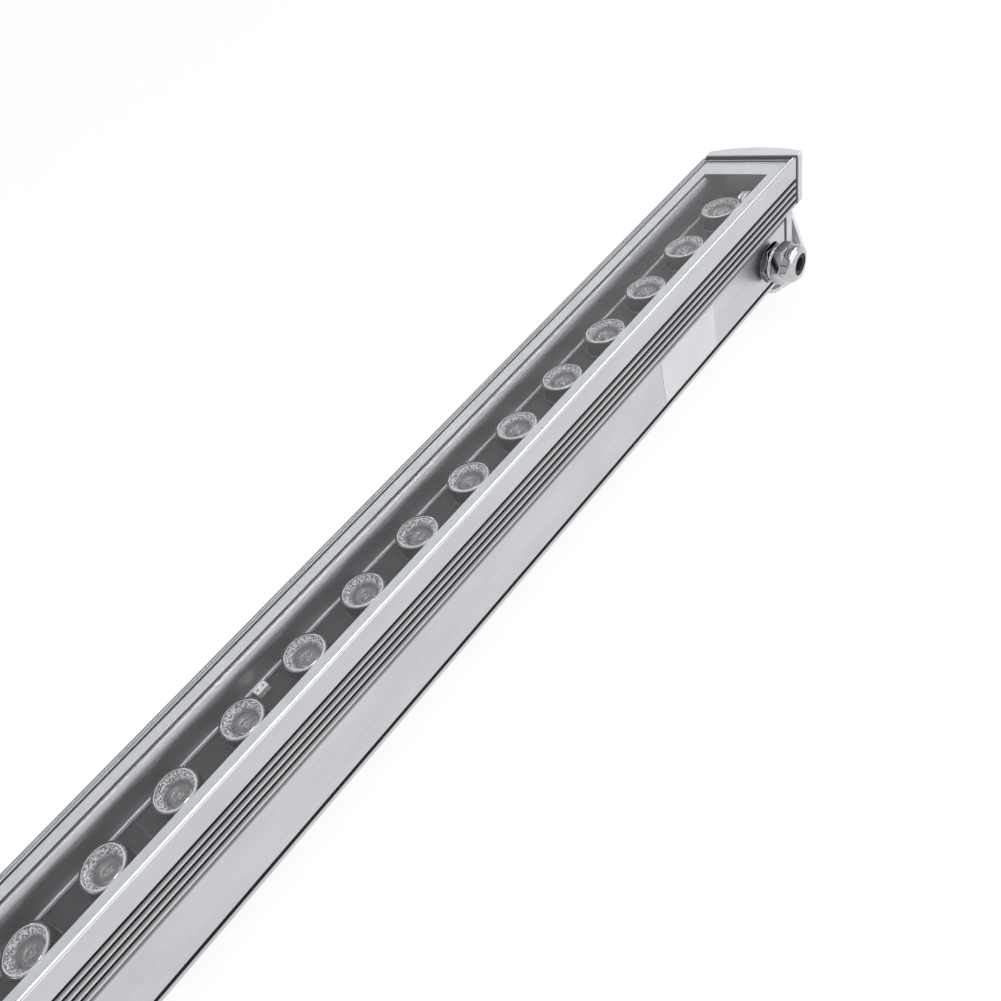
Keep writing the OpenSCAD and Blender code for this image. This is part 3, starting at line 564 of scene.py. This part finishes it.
def addLens(points, faces, smooth, parts, centre, shape):
    cup, wall, top = lensProfile(shape)
    profile = cup + wall + top
    frosted = range(*(len(cup) + len(wall) + strip for strip in shape["frostedStrips"]))
    count = shape["segments"]
    facetRows = range(len(cup), len(cup) + len(wall) - 1)
    rows = []
    for i, (r, z) in enumerate(profile):
        if r == 0:
            rows.append([len(points)])
            points.append((centre[0], centre[1], centre[2] + z))
            continue
        row = []
        for j in range(count):
            a = 2 * math.pi * j / count
            pushed = r + (shape["facetMm"] if (i + j) % 2 and i in facetRows else 0)
            row.append(len(points))
            points.append((centre[0] + pushed * math.cos(a), centre[1] + pushed * math.sin(a),
                           centre[2] + z))
        rows.append(row)
    for i in range(len(rows) - 1):
        low, high = rows[i], rows[i + 1]
        flat = i + 1 in facetRows or i in facetRows
        for j in range(count):
            k = (j + 1) % count
            if len(low) == 1:
                faces.append((low[0], high[k], high[j]))
            elif len(high) == 1:
                faces.append((low[j], low[k], high[0]))
            else:
                faces.append((low[j], low[k], high[k], high[j]))
            smooth.append(not flat)
            parts.append(1 if flat else 2 if i in frosted else 0)


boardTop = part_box("led_board_far")[1].z / mm


def makeLenses(name, sign, replaced, shape):
    points, faces, smooth, parts = [], [], [], []
    for i in range(shape["perBoard"]):
        x = sign * (i + 0.5) * shape["pitch"]
        addLens(points, faces, smooth, parts, (x, 0.0, boardTop), shape)
    return makePiece(name, points, faces, ("acrylic", "facet", "frostedRim"), smooth,
                     (replaced,), parts)


makeLenses("collimator_lenses_far", -1, "lenses_far", lensShape)
makeLenses("collimator_lenses_near", 1, "lenses_near", lensShape)
print("lenses made")

# Ring at the foot of each holder, painted grey as the highlight along its edge, as (radius, height
# above the board) in mm
footHighlightRing = {
    "section": ((11.58, 0.0), (11.58, 0.34), (11.68, 0.3), (11.8, 0.16), (11.9, 0.0)),
    "finish": "holderFootHighlight",
    "slot": "holder",
}


def makeRings(name, ring, lens):
    points, faces = [], []
    count = lens["segments"]
    size = len(ring["section"])
    for i in range(-lens["perBoard"], lens["perBoard"]):
        start = len(points)
        for j in range(count):
            a = 2 * math.pi * j / count
            for r, z in ring["section"]:
                points.append(((i + 0.5) * lens["pitch"] + r * math.cos(a), r * math.sin(a),
                               boardTop + z))
            for k in range(size):
                near, far = start + j * size, start + (j + 1) % count * size
                faces.append((near + k, near + (k + 1) % size, far + (k + 1) % size, far + k))
    return makePiece(name, points, faces, (ring["finish"],), [False] * len(faces))


makeRings("holder_foot_highlight_rings", footHighlightRing, lensShape)
print("foot beads made")

# Silicone tooled into the joint between glass and lip, in mm: x is out from the glass's edge
jointBead = {
    "section": ((-0.3, 0.0), (-0.1, 0.04), (0.15, -0.02), (0.5, -0.18), (0.85, -0.34), (1.2, -0.46),
                (1.2, -0.6), (0.02, -0.6), (0.0, 0.0)),
}


def makeJointBead(shape):
    low, high = (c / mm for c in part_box("glass_cover"))
    corners = [(low.x, low.y), (high.x, low.y), (high.x, high.y), (low.x, high.y)]
    points, faces = [], []
    size = len(shape["section"])
    for x, y in corners:
        for out, up in shape["section"]:
            points.append((x + math.copysign(out, x), y + math.copysign(out, y), high.z + up))
    for i in range(4):
        for k in range(size):
            a, b = i * size, (i + 1) % 4 * size
            n = (k + 1) % size
            faces.append((a + k, a + n, b + n, b + k))
    return makePiece("glass_joint_bead", points, faces, ("siliconeBead",),
                     [False] * len(faces))


makeJointBead(jointBead)
print("joint bead made")

# Rolled thread on the neck between the gland's two hexagons, in mm from the body's side
threadShape = {
    "axisX": -477.6,
    "sideY": 21.7,
    "start": 4.7,
    "end": 7.3,
    "rootR": 9.02,
    "crestR": 9.5,
    "pitch": 0.85,
    "ringsPerTurn": 4,
    "crestRise": 1.25,  # above 1 it leaves the crests flat
    "endDrop": 0.2,
    "segments": 72,
}


def makeThread(shape):
    axisZ = sum(c.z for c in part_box("gland_washer")) / 2 / mm
    points, faces = [], []
    count = shape["segments"]
    ringGap = shape["pitch"] / shape["ringsPerTurn"]
    ringCount = int((shape["end"] - shape["start"]) / ringGap)
    for i in range(ringCount + 1):
        y = shape["start"] + (shape["end"] - shape["start"]) * i / ringCount
        for j in range(count):
            a = 2 * math.pi * j / count
            turn = (y / shape["pitch"] + j / count) % 1
            crest = 1 - abs(2 * turn - 1)
            rise = min(1, shape["crestRise"] * crest)
            r = shape["rootR"] + (shape["crestR"] - shape["rootR"]) * rise
            if i in (0, ringCount):
                r = shape["rootR"] - shape["endDrop"]
            points.append((shape["axisX"] + r * math.cos(a), shape["sideY"] + y,
                           axisZ + r * math.sin(a)))
    for i in range(ringCount):
        for j in range(count):
            k = (j + 1) % count
            faces.append((i * count + j, i * count + k, (i + 1) * count + k, (i + 1) * count + j))
    return makePiece("gland_thread", points, faces, ("nickel",))


makeThread(threadShape)
print("gland thread made")

# Plain white sweep under a plain white sky, and two soft lamps
stageLook = {
    "floorSize": 40.0,
    "floor": "#e9e9e9",
    "glow": 0.93,  # share of plain white in the floor, so that only a soft shadow stays
    "skyForLight": 0.93,
    "sky": "#f7f8fa",
    # Unlit parts of the studio behind the lamp: direction, soft edge and brightness
    "ceilings": (((-0.46, -0.62, 0.63), (0.35, 0.85), 0.55),
                 ((0.75, -0.5, 0.43), (0.45, 0.85), 0.45)),
}


def pathIsSeen(tree):
    path = addNode(tree, "LightPath")
    both = addNode(tree, "Math", {"operation": "MAXIMUM"}, {
        0: path.outputs["Is Camera Ray"], 1: path.outputs["Is Glossy Ray"]})
    return addNode(tree, "Math", {"operation": "MAXIMUM"}, {
        0: both.outputs[0], 1: path.outputs["Is Transmission Ray"]}).outputs[0]


def makeFloor(look):
    half = look["floorSize"] / 2
    mesh = bpy.data.meshes.new("studioFloor")
    mesh.from_pydata([(-half, -half, 0), (half, -half, 0), (half, half, 0), (-half, half, 0)],
                     [], [(0, 1, 2, 3)])
    material, tree, output, _ = startMaterial("studioPaper")
    paper = addNode(tree, "BsdfDiffuse", {"Color": linearColour(look["floor"])})
    glow = addNode(tree, "Emission", {"Color": (1, 1, 1, 1), "Strength": 1.0})
    share = addNode(tree, "Math", {"operation": "MULTIPLY", 1: look["glow"]},
                    {0: pathIsSeen(tree)})
    mix = addNode(tree, "MixShader", None, {0: share.outputs[0], 1: paper.outputs[0],
                                            2: glow.outputs[0]})
    showShader(tree, output, mix)
    mesh.materials.append(material)
    floor = bpy.data.objects.new("studioFloor", mesh)
    bpy.context.scene.collection.objects.link(floor)


def makeSky(look):
    world = bpy.data.worlds.new("studioSky")
    bpy.context.scene.world = world
    world.use_nodes = True
    tree = world.node_tree
    tree.nodes.clear()
    way = addNode(tree, "TexCoord").outputs["Generated"]
    shown = addNode(tree, "Value").outputs[0]
    shown.default_value = 1.0
    for towards, edge, brightness in look["ceilings"]:
        near = addNode(tree, "VectorMath", {"operation": "DOT_PRODUCT", 1: towards},
                       {0: way}).outputs["Value"]
        zone = addNode(tree, "MapRange", {"interpolation_type": "SMOOTHSTEP", "From Min": edge[0],
                                          "From Max": edge[1], "To Min": 1.0, "To Max": brightness},
                       {"Value": near}).outputs["Result"]
        shown = addNode(tree, "Math", {"operation": "MINIMUM"}, {0: shown, 1: zone}).outputs[0]
    seen = pathIsSeen(tree)
    strength = addNode(tree, "MapRange", {"To Min": look["skyForLight"]},
                       {"Value": seen, "To Max": shown})
    back = addNode(tree, "Background", {"Color": linearColour(look["sky"])},
                   {"Strength": strength.outputs["Result"]})
    white = addNode(tree, "Background", {"Color": (1, 1, 1, 1), "Strength": 1.0})
    path = addNode(tree, "LightPath")
    mix = addNode(tree, "MixShader", None, {0: path.outputs["Is Camera Ray"],
                                            1: back.outputs[0], 2: white.outputs[0]})
    output = addNode(tree, "OutputWorld")
    tree.links.new(mix.outputs[0], output.inputs["Surface"])


# Places and sizes in metres. The front lamp is wide, so that it mirrors faintly in the glass.
lamps = {
    "softFront": {"place": (-0.2, 1.1, 1.15), "aim": (-0.1, 0, 0.05),
                  "size": (2.6, 1.4), "watts": 10},
    "softTop": {"place": (-0.9, 0.1, 1.7), "aim": (-0.9, 0, 0.05),
                "size": (3.0, 0.5), "watts": 22},
}


def makeLamp(name, lamp):
    data = bpy.data.lights.new(name, "AREA")
    data.shape = "RECTANGLE"
    data.size, data.size_y = lamp["size"]
    data.energy = lamp["watts"]
    obj = bpy.data.objects.new(name, data)
    bpy.context.scene.collection.objects.link(obj)
    obj.location = lamp["place"]
    away = Vector(lamp["place"]) - Vector(lamp["aim"])
    obj.rotation_euler = away.to_track_quat("Z", "Y").to_euler()


makeFloor(stageLook)
makeSky(stageLook)
for lampName, lamp in lamps.items():
    makeLamp(lampName, lamp)
bpy.context.scene.view_settings.view_transform = "Standard"
print("stage and lamps set")
